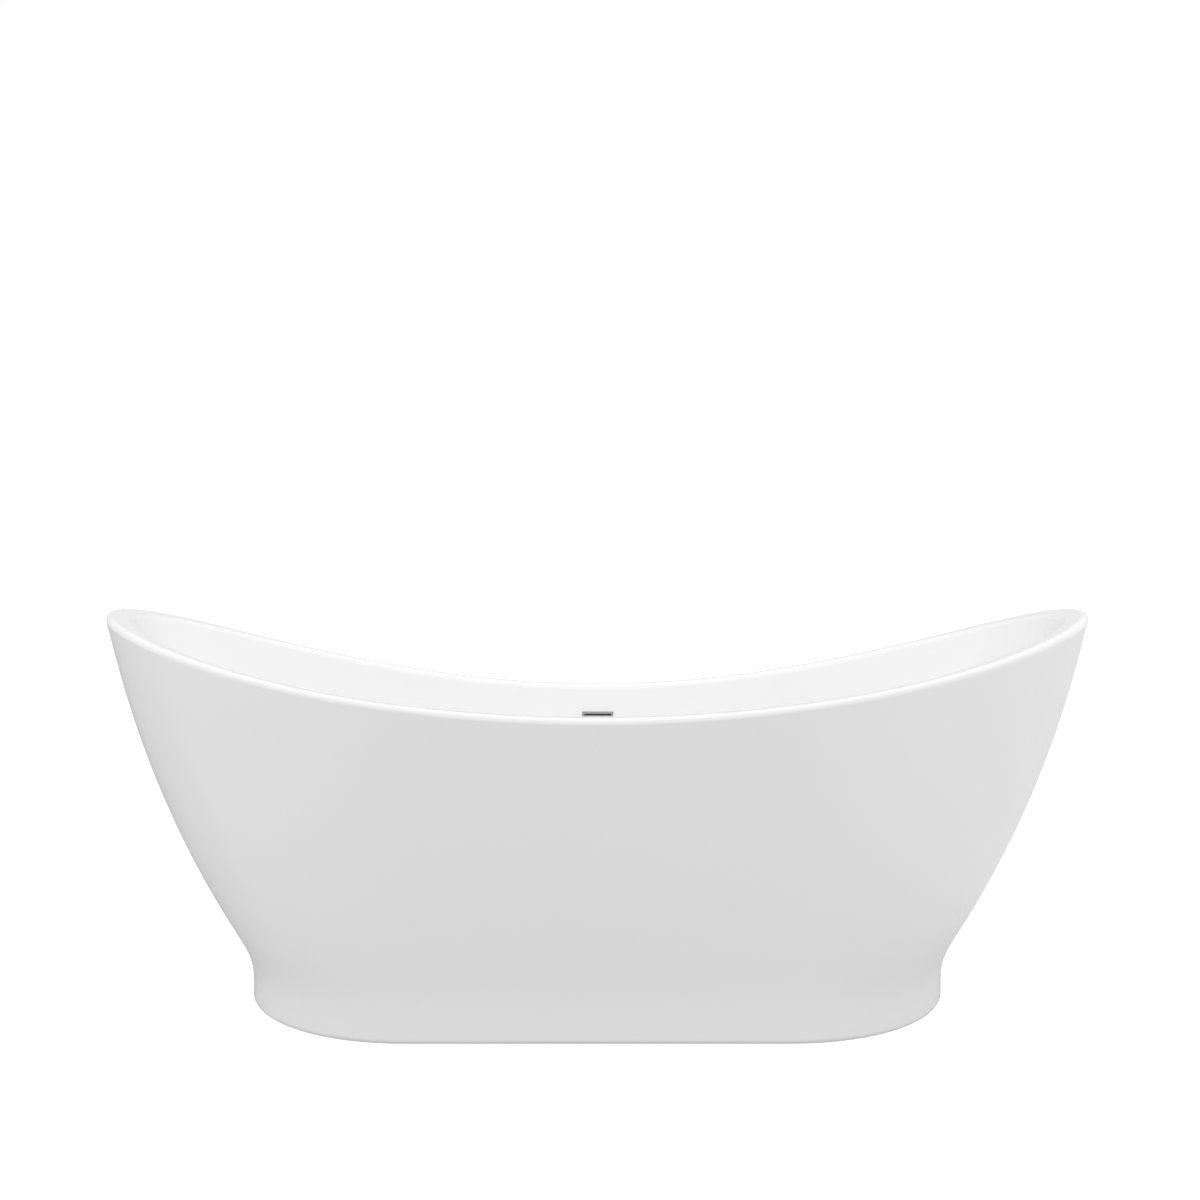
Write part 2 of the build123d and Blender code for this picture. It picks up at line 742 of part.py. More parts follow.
def make_outlet():
    """The pipe down to the floor's trap, held in the spout by a seal and a nut."""
    top = tee_bottom + tee_wall + outlet_insert
    bore = outlet_insert_radius - outlet_pipe_wall
    free_top = outlet_pipe_bottom + outlet_pipe_free
    pipe = round_ring(outlet_insert_radius, bore, free_top, top)
    write("outlet_pipe", pipe + round_ring(outlet_pipe_radius, bore, outlet_pipe_bottom, free_top))
    seal_top = tee_bottom - spout_length
    seal_bottom = seal_top - outlet_seal_height
    write("outlet_seal", round_ring(spout_radius, outlet_insert_radius, seal_bottom, seal_top))
    nut = hexagon(outlet_nut_flats, outlet_nut_bottom, seal_top + outlet_nut_overlap)
    nut -= rod(spout_radius, seal_bottom, tee_bottom)
    nut -= rod(outlet_insert_radius + outlet_spout_gap, outlet_nut_bottom, seal_top)
    write("outlet_nut", nut)


# ---- Stopper -------------------------------------------------------------------------------


def make_stopper():
    bottom = hub_top - hub_height - cartridge_drop
    top = hub_top + cartridge_rise
    barrel_top = top - cartridge_cap_height
    chamber_floor = bottom + cartridge_floor
    barrel = rod(cartridge_radius, bottom, barrel_top)
    barrel -= rod(chamber_radius, chamber_floor, barrel_top)
    write("cartridge_barrel", barrel)
    write("cartridge_cap", round_ring(cartridge_radius, stem_radius + joint_gap, barrel_top, top))

    plunger_lift = plunger_shut + stopper_travel
    plunger_bottom = chamber_floor + plunger_lift
    seal_bottom = waste_top + stopper_travel
    seal_top = seal_bottom + stopper_seal_thickness
    stem = rod(plunger_radius, plunger_bottom, plunger_bottom + plunger_height)
    write("stopper_stem", stem + rod(stem_radius, plunger_bottom, seal_top))

    coil_radius = chamber_radius - joint_gap - 2 * spring_wire_radius
    span = plunger_lift - 2 * spring_wire_radius
    path = Helix(pitch=span / spring_turns, height=span, radius=coil_radius)
    start = Plane(origin=path @ 0, z_dir=path % 0)
    coil = sweep(start * Circle(spring_wire_radius), path=path, is_frenet=True)
    write("cartridge_spring", Pos(0, 0, chamber_floor + spring_wire_radius) * coil)

    write("stopper_seal", round_ring(stopper_seal_radius, stem_radius, seal_bottom, seal_top))
    sphere_radius = (stopper_cap_radius**2 + stopper_cap_dome**2) / (2 * stopper_cap_dome)
    crown = seal_top + stopper_cap_edge + stopper_cap_dome
    disc = rod(stopper_cap_radius, seal_top, crown)
    write("stopper_cap", disc & Pos(0, 0, crown - sphere_radius) * Sphere(sphere_radius))


# ---- Overflow ------------------------------------------------------------------------------


def make_overflow():
    frame = overflow_frame()
    wall = wall_behind_overflow()
    back = wall + overflow_gasket_thickness
    face = Box(overflow_face_width, overflow_face_height, overflow_face_thickness, align=UP)
    face = face.fillet(overflow_face_round, face.faces().sort_by(Axis.Z)[-1].edges())
    sleeve = sleeve_block(back + sleeve_reach) - sleeve_block(back + sleeve_reach, -sleeve_wall)
    slot_bottom = sleeve_cover + sleeve_wall - overflow_face_height / 2
    slot_width = sleeve_width - 2 * sleeve_wall
    slot = Box(slot_width, overflow_slot_height, overflow_face_thickness, align=UP)
    face -= Pos(0, slot_bottom + overflow_slot_height / 2, 0) * slot
    write("overflow_trim", frame * Pos(0, 0, overflow_bed) * (face + sleeve))

    gasket = Box(overflow_box_width, overflow_box_height, overflow_gasket_thickness, align=INTO)
    write("overflow_gasket", frame * Pos(0, 0, -wall) * gasket - overflow_hole())
    write("overflow_box", frame * overflow_box(back))

    hose_depth = -wall - hose_from_wall
    spigot_end = -overflow_box_height / 2 - spigot_length
    hose_top = frame.from_local_coords((0, spigot_end + hose_overlap, hose_depth))
    down_wall = frame.from_local_coords((0, -1, 0)) - frame.origin
    make_hose(hose_top, down_wall)


def overflow_box(back):
    """Flat box behind the wall, open to the sleeve, with a spigot down to the hose."""
    wall = overflow_box_wall
    plan = RectangleRounded(overflow_box_width, overflow_box_height, overflow_box_corner)
    box = Pos(0, 0, -back) * extrude(plan, -overflow_box_depth)
    box = box.fillet(overflow_box_edge, box.faces().sort_by(Axis.Z)[0].edges())
    inner = RectangleRounded(
        overflow_box_width - 2 * wall, overflow_box_height - 2 * wall, overflow_box_corner - wall
    )
    box -= Pos(0, 0, -back - wall) * extrude(inner, 2 * wall - overflow_box_depth)
    box -= Pos(0, 0, -back + wall) * sleeve_block(3 * wall, sleeve_gap)
    hose_depth = back - overflow_gasket_thickness + hose_from_wall
    down = Pos(0, -overflow_box_height / 2, -hose_depth) * Rot(90, 0, 0)
    box += down * Cylinder(hose_bore, spigot_length, align=UP)
    bore = Cylinder(hose_bore - spigot_wall, spigot_length + 2 * wall, align=UP)
    return box - down * Pos(0, 0, -2 * wall) * bore


def make_hose(start, direction):
    """The hose runs down behind the basin's wall, bends once and runs level to the waste."""
    fall = (start.Z - inlet_height) / -direction.Z
    corner = start + direction * fall
    end = Vector(0, inlet_reach - hose_overlap, inlet_height)
    path = FilletPolyline(start, corner, end, radius=hose_bend)
    profile = Plane(origin=start, z_dir=direction)
    outer = sweep(profile * Circle(hose_radius), path=path)
    inner = sweep(profile * Circle(hose_bore), path=path)
    write("overflow_hose", outer - inner)

    along = clamp_width / 2 + clamp_from_end
    upper = Plane(origin=start + direction * along, x_dir=(1, 0, 0), z_dir=direction)
    write("hose_clamp_upper", upper * clamp())
    lower = Plane(origin=end + Vector(0, along, 0), x_dir=(1, 0, 0), z_dir=(0, 1, 0))
    write("hose_clamp_lower", lower * clamp())


def clamp():
    """Worm-drive clamp about Z, with its screw beside the band."""
    half = clamp_width / 2
    band = round_ring(hose_radius + clamp_band, hose_radius, -half, half)
    side = hose_radius + clamp_band + clamp_house_rise
    housing = Pos(side, 0, 0) * Box(clamp_house_width, clamp_house_length, clamp_width)
    turned = Pos(side + clamp_screw_rise, 0, 0) * Rot(90, 0, 0)
    housing += turned * Cylinder(clamp_screw_radius, clamp_screw_length)
    return band + (housing - rod(hose_radius, -half, half))


def main():
    os.makedirs("parts", exist_ok=True)
    make_shells()
    make_backings()
    make_board()
    make_frame()
    make_brackets()
    make_feet()
    make_waste()
    make_stopper()
    make_overflow()


main()
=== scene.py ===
import math

import bpy
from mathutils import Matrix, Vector


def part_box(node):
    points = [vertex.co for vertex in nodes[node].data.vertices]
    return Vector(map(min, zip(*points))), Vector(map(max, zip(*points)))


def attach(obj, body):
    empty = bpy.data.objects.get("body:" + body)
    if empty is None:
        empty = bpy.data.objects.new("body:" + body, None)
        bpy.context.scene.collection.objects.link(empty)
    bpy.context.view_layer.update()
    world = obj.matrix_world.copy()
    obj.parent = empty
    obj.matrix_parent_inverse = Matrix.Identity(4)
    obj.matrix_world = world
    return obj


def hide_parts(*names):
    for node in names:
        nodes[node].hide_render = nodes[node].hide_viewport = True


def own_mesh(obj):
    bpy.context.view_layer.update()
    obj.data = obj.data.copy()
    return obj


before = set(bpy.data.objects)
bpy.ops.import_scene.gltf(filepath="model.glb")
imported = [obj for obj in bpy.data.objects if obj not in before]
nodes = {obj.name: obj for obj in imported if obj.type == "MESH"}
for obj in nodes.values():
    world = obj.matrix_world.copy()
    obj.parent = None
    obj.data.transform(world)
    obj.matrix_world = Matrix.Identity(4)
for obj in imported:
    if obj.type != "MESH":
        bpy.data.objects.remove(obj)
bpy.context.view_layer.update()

bpy.ops.object.select_all(action="DESELECT")

# ---- Basin and skirt -----------------------------------------------------------------------
# Two vacuum-formed sheets of white sanitary acrylic, glossy all over. The basin's rolled rim
# turns down over the skirt's upper edge, and the seam under the lip is filled and polished.


class Wire:
    """One output of a finish's node tree, so that shader maths reads as plain expressions."""

    def __init__(self, socket):
        self.socket = socket
        self.tree = socket.id_data

    def node(self, kind, settings, sockets, out=0):
        """Adds a node: its settings first, then the values or wires of its sockets."""
        made = self.tree.nodes.new("ShaderNode" + kind)
        for key, value in settings.items():
            if key == "stops":
                elements = made.color_ramp.elements
                while len(elements) < len(value):
                    elements.new(0.5)
                for element, (place, shade) in zip(elements, value):
                    element.position = place
                    element.color = (shade, shade, shade, 1)
            else:
                setattr(made, key, value)
        for key, value in sockets.items():
            if isinstance(value, Wire):
                self.tree.links.new(value.socket, made.inputs[key])
            else:
                made.inputs[key].default_value = value
        return Wire(made.outputs[out])

    def is_vector(self):
        return self.socket.type == "VECTOR"

    def maths(self, operation, a, b):
        """Vector maths where either side is a vector, and plain maths otherwise."""
        if any(v.is_vector() if isinstance(v, Wire) else isinstance(v, tuple) for v in (a, b)):
            a, b = [(v, v, v) if isinstance(v, (int, float)) else v for v in (a, b)]
            return self.node("VectorMath", {"operation": operation}, {0: a, 1: b})
        return self.node("Math", {"operation": operation}, {0: a, 1: b})

    def __add__(self, other):
        return self.maths("ADD", self, other)

    def __radd__(self, other):
        return self.maths("ADD", other, self)

    def __sub__(self, other):
        return self.maths("SUBTRACT", self, other)

    def __rsub__(self, other):
        return self.maths("SUBTRACT", other, self)

    def __mul__(self, other):
        return self.maths("MULTIPLY", self, other)

    def __rmul__(self, other):
        return self.maths("MULTIPLY", other, self)

    def along(self, axis):
        """The X, Y or Z part of a vector."""
        return self.node("SeparateXYZ", {}, {0: self}, out="XYZ".index(axis))

    def noise(self, scale, detail=2.0, roughness=0.5):
        sockets = {"Vector": self, "Scale": scale, "Detail": detail, "Roughness": roughness}
        return self.node("TexNoise", {}, sockets)

    def ramp(self, *stops):
        return self.node("ValToRGB", {"stops": stops}, {0: self})

    def between(self, a, b):
        """Colour a where this is 0 and colour b where it is 1."""
        ends = [c if isinstance(c, Wire) else (*c, 1) for c in (a, b)]
        return self.node("Mix", {"data_type": "RGBA"}, {0: self, 6: ends[0], 7: ends[1]}, out=2)

    def bump(self, depth, strength=1.0):
        """A surface raised by up to `depth` metres where this is 1."""
        return self.node("Bump", {}, {"Strength": strength, "Distance": depth, "Height": self})

    def lay(self, **sockets):
        """Finishes the material with these values and wires on its shader."""
        named = {key.replace("_", " "): value for key, value in sockets.items()}
        shader = self.node("BsdfPrincipled", {}, named)
        output = self.tree.nodes.new("ShaderNodeOutputMaterial")
        self.tree.links.new(shader.socket, output.inputs["Surface"])


def new_finish(name):
    """A new material and its Object coordinates."""
    made = bpy.data.materials.new(name)
    made.use_nodes = True
    made.node_tree.nodes.clear()
    return made, Wire(made.node_tree.nodes.new("ShaderNodeTexCoord").outputs["Object"])


def dress(finish, *names):
    """Gives CAD nodes a finish."""
    for name in names:
        nodes[name].data.materials.clear()
        nodes[name].data.materials.append(finish)


acrylic, at = new_finish("white_acrylic")
cloud = at.noise(3.5, 3.0)
wipe = (at * (1.0, 1.0, 3.0)).noise(14.0, 4.0, 0.6)
ripple = at.noise(9.0, 1.0)
peel = at.noise(260.0, 2.0)
at.lay(
    Base_Color=cloud.between((0.944, 0.945, 0.943), (0.956, 0.957, 0.954)),
    Roughness=0.10 + wipe * 0.05,
    IOR=1.49,
    Normal=(ripple + peel * 0.02).bump(0.0004, 0.25),
)
dress(acrylic, "basin_shell", "skirt_shell")

# ---- Fibreglass backing --------------------------------------------------------------------
# Chopped glass strands in polyester resin, rolled by hand onto the back of both sheets. The
# strands lie every way, and the resin leaves a lumpy, half-gloss surface.

fibreglass, at = new_finish("chopped_strand_fibreglass")
strands = at.noise(60.0, 1.0)
bent = at + at.noise(6.0, 1.0) * 0.03
for stretch in ((1.0, 9.0, 9.0), (9.0, 1.0, 9.0), (9.0, 9.0, 1.0), (4.0, 9.0, 3.0)):
    fine = (bent * stretch).noise(34.0, 2.0, 0.7)
    strands = strands.maths("MAXIMUM", strands, fine.ramp((0.52, 0.0), (0.66, 1.0)) * 0.9)
lumps = at.noise(24.0, 3.0)
resin = at.noise(4.0, 2.0).between((0.42, 0.43, 0.33), (0.50, 0.49, 0.38))
at.lay(
    Base_Color=strands.between(resin, (0.66, 0.66, 0.56)),
    Roughness=0.38 + strands * 0.25,
    IOR=1.52,
    Normal=(strands * 0.4 + lumps).bump(0.0012, 0.6),
)
dress(fibreglass, "basin_backing", "skirt_backing")

# ---- Bonding paste -------------------------------------------------------------------------
# Filled polyester paste, trowelled into the corner under the rim to join basin and skirt. It
# sets matt, with the trowel's drag marks in it.

paste, at = new_finish("bonding_paste")
trowel = (at * (1.0, 1.0, 4.0)).noise(40.0, 4.0, 0.65)
at.lay(
    Base_Color=trowel.between((0.50, 0.48, 0.42), (0.62, 0.60, 0.54)),
    Roughness=0.60 + trowel * 0.25,
    Normal=trowel.bump(0.0015, 0.7),
)
dress(paste, "rim_bond")

# ---- Floor board ---------------------------------------------------------------------------
# Seven-ply birch plywood, cut to the flat of the basin floor and laminated to its underside.
# Its faces show grain along the tub, and its edge shows the plies.

ply = 0.00172


def stripes(height, period):
    """Goes from 0 to 1 and back in every `period` metres of height."""
    angle = height * (2 * math.pi / period)
    return height.node("Math", {"operation": "SINE"}, {0: angle}) * 0.5 + 0.5


plywood, at = new_finish("birch_plywood")
swirl = (at * (0.7, 5.0, 1.0)).noise(3.0, 3.0, 0.6)
grain = (at * (2.0, 60.0, 6.0) + swirl * 3.0).noise(3.0, 4.0, 0.62)
pores = (at * (8.0, 240.0, 40.0)).noise(5.0, 2.0, 0.7)
dark_plies = stripes(at.along("Z"), 2 * ply).ramp((0.42, 0.0), (0.58, 1.0))
wood = grain.between((0.50, 0.34, 0.19), (0.68, 0.50, 0.31))
at.lay(
    Base_Color=(dark_plies * 0.5).between(wood, (0.36, 0.23, 0.12)),
    Roughness=0.55 + pores * 0.2,
    Normal=(grain * 0.5 + pores * 0.5).bump(0.0004, 0.5),
)
dress(plywood, "floor_board")

# ---- Steel frame ---------------------------------------------------------------------------
# Rails and crossbars are square steel tube, cut, welded and zinc plated. The rails lie on the
# bars, and the brackets, screws and nuts are plated the same way.

zinc, at = new_finish("zinc_plated_steel")
tint = at.noise(18.0, 3.0)
scuff = (at * (1.0, 7.0, 7.0)).noise(50.0, 3.0, 0.65)
at.lay(
    Base_Color=tint.between((0.52, 0.53, 0.55), (0.66, 0.66, 0.64)),
    Metallic=1.0,
    Roughness=0.28 + scuff * 0.22,
    Normal=scuff.bump(0.0001, 0.5),
)
rails = ("rail_front", "rail_back")
crossbars = ("crossbar_left", "crossbar_right", "crossbar_left_end", "crossbar_right_end")
dress(zinc, *rails, *crossbars)
dress(zinc, "board_screws", "skirt_brackets", "bracket_screws", "foot_weld_nuts", "foot_lock_nuts")

# ---- Weld beads ----------------------------------------------------------------------------
# Short fillet welds, run by hand along both edges of a rail where it lies on a bar. Each is a
# row of overlapping ripples that starts and stops thin, plated together with the frame.


def finished(piece, name, finish):
    """Names a new piece of the tub, puts its place into its mesh and gives it its finish."""
    piece.name = piece.data.name = name
    bpy.ops.object.select_all(action="DESELECT")
    piece.select_set(True)
    bpy.context.view_layer.objects.active = piece
    bpy.ops.object.transform_apply(location=True, rotation=True, scale=True)
    bpy.ops.object.shade_smooth_by_angle(angle=math.radians(35))
    piece.data.materials.clear()
    piece.data.materials.append(finish)
    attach(piece, "tub")


def drawn_ring(vertices, radius, turned_about, place, fill="NOTHING"):
    """A ring of edges turned upright and moved to its place, left selected in edit mode."""
    bpy.ops.object.select_all(action="DESELECT")
    bpy.ops.mesh.primitive_circle_add(vertices=vertices, radius=radius, fill_type=fill)
    bpy.ops.object.mode_set(mode="EDIT")
    bpy.ops.mesh.select_all(action="SELECT")
    quarter = math.radians(90)
    bpy.ops.transform.rotate(value=quarter, orient_axis=turned_about, center_override=(0, 0, 0))
    bpy.ops.transform.translate(value=place)
    return bpy.context.active_object


def draw_out(distance, growth):
    """Extrudes the selected ring along X, and widens or narrows its new end about the X axis."""
    bpy.ops.mesh.extrude_region_move(TRANSFORM_OT_translate={"value": (distance, 0, 0)})
    bpy.ops.transform.resize(value=(1, growth, growth), center_override=(0, 0, 0))


bead_radius = 0.0021
bead_length = 0.021
bead_ripples = 13
bead_start = bead_radius * 0.45
swelling = [1.7, 1.3] + [0.90, 1.11] * bead_ripples + [0.78, 0.58]
bead = drawn_ring(12, bead_start, "Y", (-bead_length / 2, 0, 0), fill="NGON")
for growth in swelling:
    draw_out(bead_length / len(swelling), growth)
bpy.ops.mesh.select_all(action="SELECT")
bpy.ops.mesh.normals_make_consistent(inside=False)
bpy.ops.object.mode_set(mode="OBJECT")

for rail in rails:
    rail_low, rail_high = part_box(rail)
    for bar in crossbars:
        bar_low, bar_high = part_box(bar)
        for side, edge in (("near", rail_low[1]), ("far", rail_high[1])):
            run = bead.copy()
            run.data = bead.data.copy()
            bpy.context.collection.objects.link(run)
            run.location = ((bar_low[0] + bar_high[0]) / 2, edge, bar_high[2])
            rail_end, bar_end = rail.removeprefix("rail_"), bar.removeprefix("crossbar_")
            finished(run, f"weld_{rail_end}_{bar_end}_{side}", zinc)
bpy.data.objects.remove(bead)

# ---- Tube end caps and foot pads -----------------------------------------------------------
# Moulded black nylon: square plugs pressed into the tubes, and round pads that swivel on the
# studs. The mould leaves a fine grain, and dust settles on them.

nylon, at = new_finish("black_nylon")
mould = at.noise(700.0, 2.0)
dust = at.noise(30.0, 4.0, 0.6)
at.lay(
    Base_Color=dust.between((0.018, 0.018, 0.019), (0.035, 0.035, 0.036)),
    Roughness=0.42 + dust * 0.2,
    Normal=mould.bump(0.00008, 0.6),
)
feet = range(1, 7)
dress(nylon, "tube_end_caps", *[f"foot_{k}_pad" for k in feet])

# ---- Foot studs ----------------------------------------------------------------------------
# Zinc-plated studs with a rolled thread and a forged collar for the spanner. Each runs up
# through the welded nut on its bar and is held by a lock nut.

thread_pitch = 0.0015
threaded, at = new_finish("rolled_thread")
# Darker grey in the thread's roots than on its crests: painted shade in the grooves.
crests_and_painted_root_shade = stripes(at.along("Z"), thread_pitch)
plating = at.noise(60.0, 3.0)
bright_zinc = plating.between((0.54, 0.55, 0.57), (0.66, 0.66, 0.64))
at.lay(
    Base_Color=crests_and_painted_root_shade.between((0.34, 0.35, 0.36), bright_zinc),
    Metallic=1.0,
    Roughness=0.30 + plating * 0.16,
    Normal=crests_and_painted_root_shade.bump(0.0006, 0.8),
)
dress(threaded, *[f"foot_{k}_stud" for k in feet])

# ---- Waste flange and stopper cap ----------------------------------------------------------
# Brass, turned and polished, then chrome plated. The flange sits in the basin floor with its
# seal under it, and the domed cap lifts out of it.

chrome, at = new_finish("polished_chrome")
haze = at.noise(45.0, 4.0, 0.6)
at.lay(
    Base_Color=haze.between((0.72, 0.73, 0.75), (0.78, 0.79, 0.80)),
    Metallic=1.0,
    Roughness=0.05 + haze * 0.06,
)
dress(chrome, "waste_flange", "stopper_cap")

# ---- Overflow trim -------------------------------------------------------------------------
# A flat slotted plate on the far inner wall, brushed along its length and chrome plated, so
# that it looks an even satin grey.

satin_chrome, at = new_finish("satin_chrome")
brushing = (at * (4.0, 60.0, 60.0)).noise(30.0, 3.0, 0.6)
at.lay(
    Base_Color=brushing.between((0.34, 0.345, 0.35), (0.42, 0.425, 0.43)),
    Metallic=1.0,
    Roughness=0.20 + brushing * 0.12,
    Normal=brushing.bump(0.00002, 0.3),
)
dress(satin_chrome, "overflow_trim")

# ---- Seals and washers ---------------------------------------------------------------------
# Moulded black rubber rings that the flange, the stopper, the outlet nut and the overflow
# press flat. The rubber is matt, with a pale bloom.

rubber, at = new_finish("black_rubber")
bloom = at.noise(60.0, 4.0, 0.6)
at.lay(
    Base_Color=bloom.between((0.016, 0.016, 0.016), (0.040, 0.040, 0.039)),
    Roughness=0.62 + bloom * 0.2,
    Normal=at.noise(900.0, 2.0).bump(0.00005, 0.6),
)
dress(rubber, "waste_seal", "waste_washer", "outlet_seal", "stopper_seal", "overflow_gasket")

# ---- Lock nut, stopper stem and cartridge --------------------------------------------------
# Unplated brass, turned on a lathe, which leaves fine rings on the flat faces. The nut draws
# the flange down, and the stem slides in the cartridge's barrel.

brass, at = new_finish("turned_brass")
rings = {"wave_type": "RINGS", "rings_direction": "Z"}
turning = at.node("TexWave", rings, {"Vector": at, "Scale": 900.0, "Distortion": 0.4})
tarnish = at.noise(55.0, 4.0, 0.6)
at.lay(
    Base_Color=tarnish.between((0.76, 0.58, 0.28), (0.62, 0.45, 0.20)),
    Metallic=1.0,
    Roughness=0.20 + tarnish * 0.2,
    Normal=turning.bump(0.00003, 0.4),
)
dress(brass, "waste_lock_nut", "cartridge_barrel", "cartridge_cap", "stopper_stem")

# ---- Tee, outlet and overflow box ----------------------------------------------------------
# Injection-moulded white polypropylene fittings, screwed or pushed together. The surface has
# the mould's faint grain and a slight mottle.

pipe_plastic, at = new_finish("white_pipe_plastic")
flow = at.noise(28.0, 3.0)
at.lay(
    Base_Color=flow.between((0.74, 0.74, 0.72), (0.80, 0.80, 0.78)),
    Roughness=0.34 + flow * 0.12,
    Normal=at.noise(500.0, 2.0).bump(0.00006, 0.5),
)
dress(pipe_plastic, "waste_tee", "outlet_pipe", "outlet_nut", "overflow_box")

# ---- Hose clamps ---------------------------------------------------------------------------
# Stainless band clamps, drawn tight round the two ends of the overflow hose by a screw. The
# band keeps the fine lines of its rolling.

stainless, at = new_finish("drawn_stainless")
drawn = (at * (6.0, 6.0, 60.0)).noise(30.0, 3.0, 0.6)
at.lay(
    Base_Color=drawn.between((0.58, 0.58, 0.58), (0.68, 0.68, 0.67)),
    Metallic=1.0,
    Roughness=0.22 + drawn * 0.18,
    Normal=drawn.bump(0.00003, 0.4),
)
dress(stainless, "hose_clamp_upper", "hose_clamp_lower")

# ---- Cartridge spring ----------------------------------------------------------------------
# Five turns of stainless wire inside the brass barrel, standing on its floor under the stem.
# It is wound at its open length, and shutting the stopper presses it down.

turns = 5
wire_radius = 0.00055
low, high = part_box("cartridge_spring")
coil_radius = (high[0] - low[0]) / 2 - wire_radius
open_length = high[2] - low[2]
first_ring = (coil_radius, 0, low[2] + wire_radius)
spring = drawn_ring(10, wire_radius, "X", first_ring)
bpy.ops.object.mode_set(mode="OBJECT")
wind = spring.modifiers.new("wind", "SCREW")
wind.axis = "Z"
wind.steps = wind.render_steps = 40
wind.screw_offset = (open_length - 2 * wire_radius) / turns
wind.iterations = turns
wind.use_merge_vertices = False
bpy.ops.object.modifier_apply(modifier="wind")
bpy.ops.object.mode_set(mode="EDIT")
bpy.ops.mesh.select_all(action="SELECT")
bpy.ops.mesh.remove_doubles(threshold=0.00001)
bpy.ops.mesh.select_all(action="DESELECT")
bpy.ops.mesh.select_non_manifold()
bpy.ops.mesh.fill_holes(sides=0)
bpy.ops.mesh.select_all(action="SELECT")
bpy.ops.mesh.normals_make_consistent(inside=False)
bpy.ops.object.mode_set(mode="OBJECT")
finished(spring, "spring_coil", stainless)
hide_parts("cartridge_spring")
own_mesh(spring)

# ---- Overflow hose -------------------------------------------------------------------------
# A corrugated plastic hose with a plain cuff at each end, pushed over the spigots of the
# overflow box and the tee. It comes down behind the basin, bends once and runs to the tee.

hose_radius = 0.00895
rib_depth = 0.0013
rib_pitch = 0.0045
hose_wall = 0.0012
cuff_length = 0.022
cuff_above_clamp = 0.0085
cuff_step = 0.001
bend_radius = 0.062
basin_wall_lean = 0.1944

low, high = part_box("overflow_hose")
clamp_low, clamp_high = [Vector(corner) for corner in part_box("hose_clamp_upper")]
tilt = math.atan(basin_wall_lean)
down = Vector((0, -math.sin(tilt), -math.cos(tilt)))
level = Vector((0, -1, 0))
clamp_middle = (clamp_low + clamp_high) / 2
clamp_middle.x = 0
top = clamp_middle - down * cuff_above_clamp
end = Vector((0, low[1], low[2] + (high[0] - low[0]) / 2))
corner = top + down * ((top.z - end.z) / -down.z)
turn = math.pi / 2 - tilt
before_corner = bend_radius * math.tan(turn / 2)
bend_start = corner - down * before_corner
bend_end = corner + level * before_corner
length = (bend_start - top).length + bend_radius * turn + (bend_end - end).length

bpy.ops.object.select_all(action="DESELECT")
bpy.ops.curve.primitive_bezier_curve_add(location=(0, 0, 0))
route = bpy.context.active_object
route.data.dimensions = "3D"
route.data.resolution_u = 64
points = route.data.splines[0].bezier_points
points.add(2)
end_reach = 0.05
bend_reach = bend_radius * 4 / 3 * math.tan(turn / 4)
stations = (
    (top, down, end_reach),
    (bend_start, down, bend_reach),
    (bend_end, level, bend_reach),
    (end, level, end_reach),
)
for point, (place, heading, reach) in zip(points, stations):
    point.handle_left_type = point.handle_right_type = "FREE"
    point.co = place
    point.handle_left = place - heading * reach
    point.handle_right = place + heading * reach

valley_radius = hose_radius - rib_depth
crest = hose_radius / valley_radius
rib_count = int((length - 2 * cuff_length) / rib_pitch)
last_rib = cuff_length + rib_count * rib_pitch
hose = drawn_ring(28, valley_radius, "Y", (cuff_length, 0, 0))
for share, growth in ((0.22, crest), (0.28, 1.0), (0.22, 1 / crest), (0.28, 1.0)):
    draw_out(rib_pitch * share, growth)
bpy.ops.object.mode_set(mode="OBJECT")
ribs = hose.modifiers.new("ribs", "ARRAY")
ribs.use_relative_offset = False
ribs.use_constant_offset = True
ribs.constant_offset_displace = (rib_pitch, 0, 0)
ribs.count = rib_count
ribs.use_merge_vertices = True
ribs.merge_threshold = 0.00005
bpy.ops.object.modifier_apply(modifier="ribs")
for open_end, outward, hose_end in ((cuff_length, -1, 0), (last_rib, 1, length)):
    bpy.ops.object.mode_set(mode="EDIT")
    bpy.ops.mesh.select_mode(type="VERT")
    bpy.ops.mesh.select_all(action="DESELECT")
    bpy.ops.object.mode_set(mode="OBJECT")
    for vertex in hose.data.vertices:
        vertex.select = abs(vertex.co.x - open_end) < 0.0001
    bpy.ops.object.mode_set(mode="EDIT")
    draw_out(outward * cuff_step, crest)
    draw_out(hose_end - open_end - outward * cuff_step, 1.0)
bpy.ops.mesh.select_all(action="SELECT")
bpy.ops.mesh.normals_make_consistent(inside=False)
bpy.ops.object.mode_set(mode="OBJECT")
thick = hose.modifiers.new("thick", "SOLIDIFY")
thick.thickness = hose_wall
thick.offset = -1.0
bpy.ops.object.modifier_apply(modifier="thick")
lead = hose.modifiers.new("lead", "CURVE")
lead.object = route
lead.deform_axis = "POS_X"
bpy.ops.object.modifier_apply(modifier="lead")
bpy.data.objects.remove(route)
finished(hose, "ribbed_overflow_hose", pipe_plastic)
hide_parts("overflow_hose")

# ---- Studio: floor -------------------------------------------------------------------------
# A plain white floor that runs out of sight. It glows softly in place of bounced studio light,
# more at both sides than under the tub.

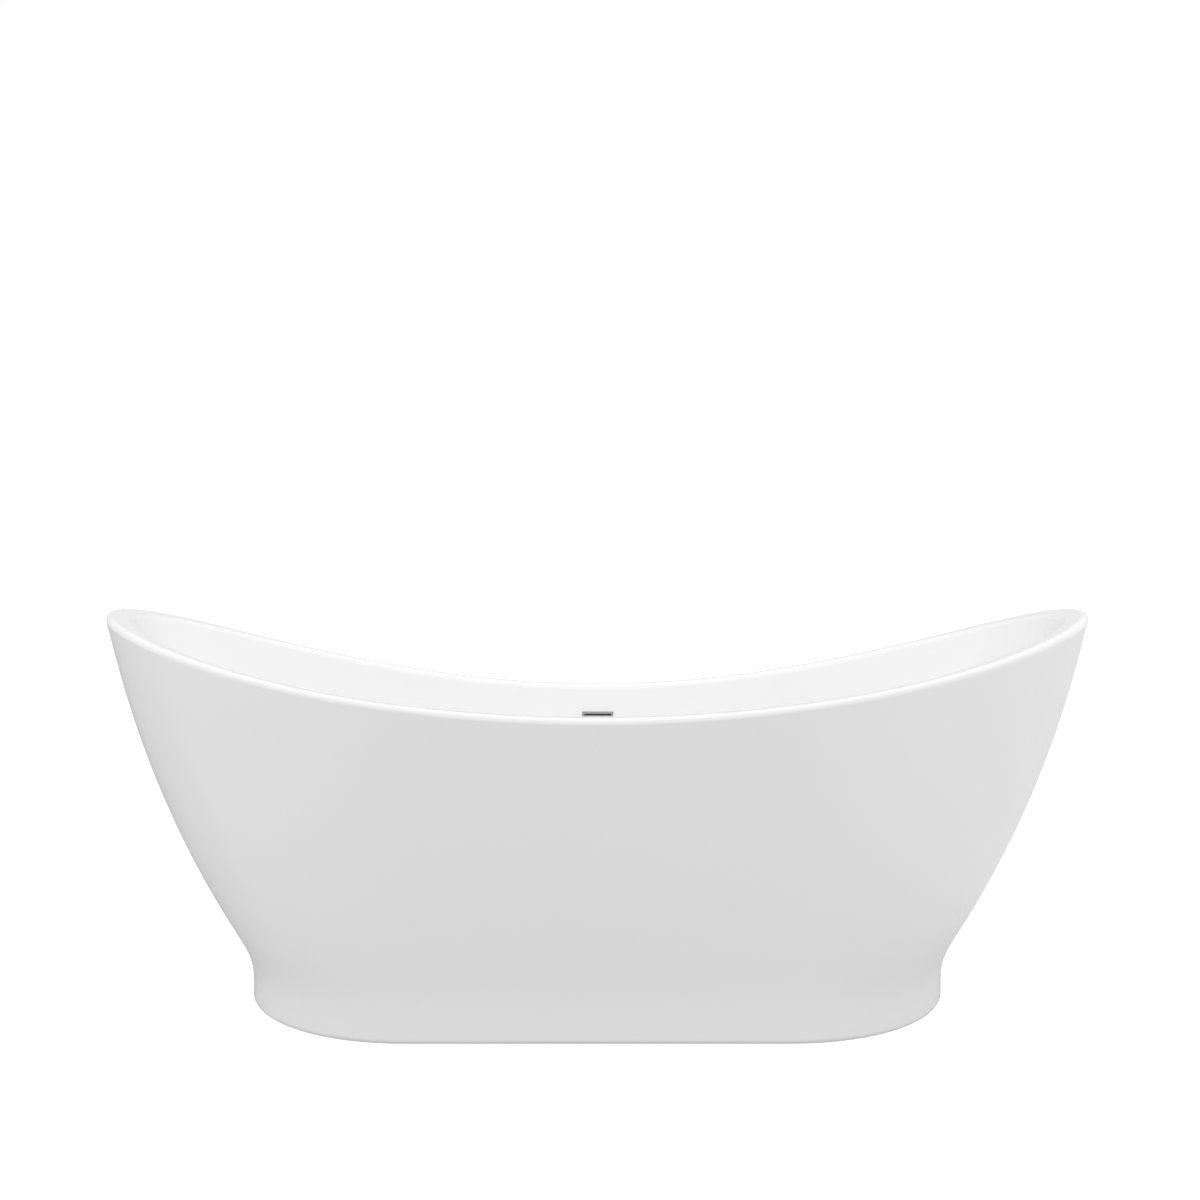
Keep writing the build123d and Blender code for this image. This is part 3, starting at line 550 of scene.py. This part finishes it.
bpy.ops.object.select_all(action="DESELECT")
bpy.ops.mesh.primitive_circle_add(vertices=96, radius=30.0, fill_type="NGON")
floor = bpy.context.active_object
floor.name = "floor"
floor.location.z = -0.0005
bpy.ops.object.transform_apply(location=True, rotation=False, scale=False)
paint, at = new_finish("white_floor")
speck = at.noise(3.0, 3.0)
seen_directly = at.node("LightPath", {}, {}, out=0)
across = at.along("X")
nearer = (at.along("Y") + 0.5).ramp((0.24, 1.0), (0.28, 0.0))
left_glow = (0.0 - across).ramp((0.55, 0.0), (1.0, 1.0)) * nearer
right_glow = across.ramp((0.55, 0.0), (1.0, 1.0))
third = at * 0.33
distance = third.node("VectorMath", {"operation": "LENGTH"}, {0: third}, out=1)
fading = distance.ramp((0.20, 0.0), (0.60, 1.0)) * 0.07
sheen = 0.27 + left_glow * 0.22 + right_glow * 0.27 - fading
at.lay(
    Base_Color=speck.between((0.24, 0.24, 0.24), (0.26, 0.26, 0.26)),
    Roughness=0.9,
    IOR=1.2,
    Emission_Color=seen_directly.between(sheen, (1, 1, 1)),
    Emission_Strength=1.0,
)
floor.data.materials.append(paint)

# ---- Studio: light -------------------------------------------------------------------------
# A white room that lights the tub softly: a broad panel overhead and a little in front, dimmer
# walls in front than behind, and a tall panel on each side.

room = bpy.data.worlds.new("studio")
bpy.context.scene.world = room
room.use_nodes = True
room.node_tree.nodes.clear()
way = Wire(room.node_tree.nodes.new("ShaderNodeTexCoord").outputs["Generated"])
flat_way = way * (1.0, 1.0, 0.0)
compass = way.node("VectorMath", {"operation": "NORMALIZE"}, {0: flat_way})
across = compass.along("X")
back = compass.along("Y")
wall_stops = ((0.0, 0.40), (0.25, 0.41), (0.45, 0.62), (0.75, 0.76), (1.0, 0.66))
walls = (back * 0.5 + 0.5).ramp(*wall_stops)
panel_way = (0.0, -0.42, 0.907)
aloft = way.node("VectorMath", {"operation": "DOT_PRODUCT"}, {0: way, 1: panel_way}, out=1)
overhead = aloft.ramp((0.36, 0.0), (0.86, 1.0))
in_front = back.ramp((0.20, 1.0), (0.23, 0.0))
left_panel = (0.0 - across).ramp((0.55, 0.0), (0.95, 1.0)) * in_front * 0.55
right_panel = across.ramp((0.30, 0.0), (0.90, 1.0)) * 0.35
light = (walls + left_panel + right_panel) * (1.0 - overhead) + 1.24 * overhead
seen_directly = light.node("LightPath", {}, {}, out=0)
shown = seen_directly * 1.02 + (1.0 - seen_directly) * light
glow = shown.node("Background", {}, {"Color": (1, 1, 1, 1), "Strength": shown})
sky = room.node_tree.nodes.new("ShaderNodeOutputWorld")
room.node_tree.links.new(glow.socket, sky.inputs["Surface"])
bpy.context.scene.view_settings.view_transform = "Standard"

# ---- Studio: camera ------------------------------------------------------------------------
# Just above the ends of the rim, looking level and square to the long side, far enough back for
# a 35 mm lens to take in the whole tub.

camera_place = (0.005, -2.207, 0.7187)
bpy.ops.object.camera_add(location=camera_place, rotation=(math.radians(90), 0, 0))
camera = bpy.context.active_object
camera.data.lens = 35.0
camera.data.sensor_width = 36.0
camera.data.clip_end = 100.0
bpy.context.scene.camera = camera
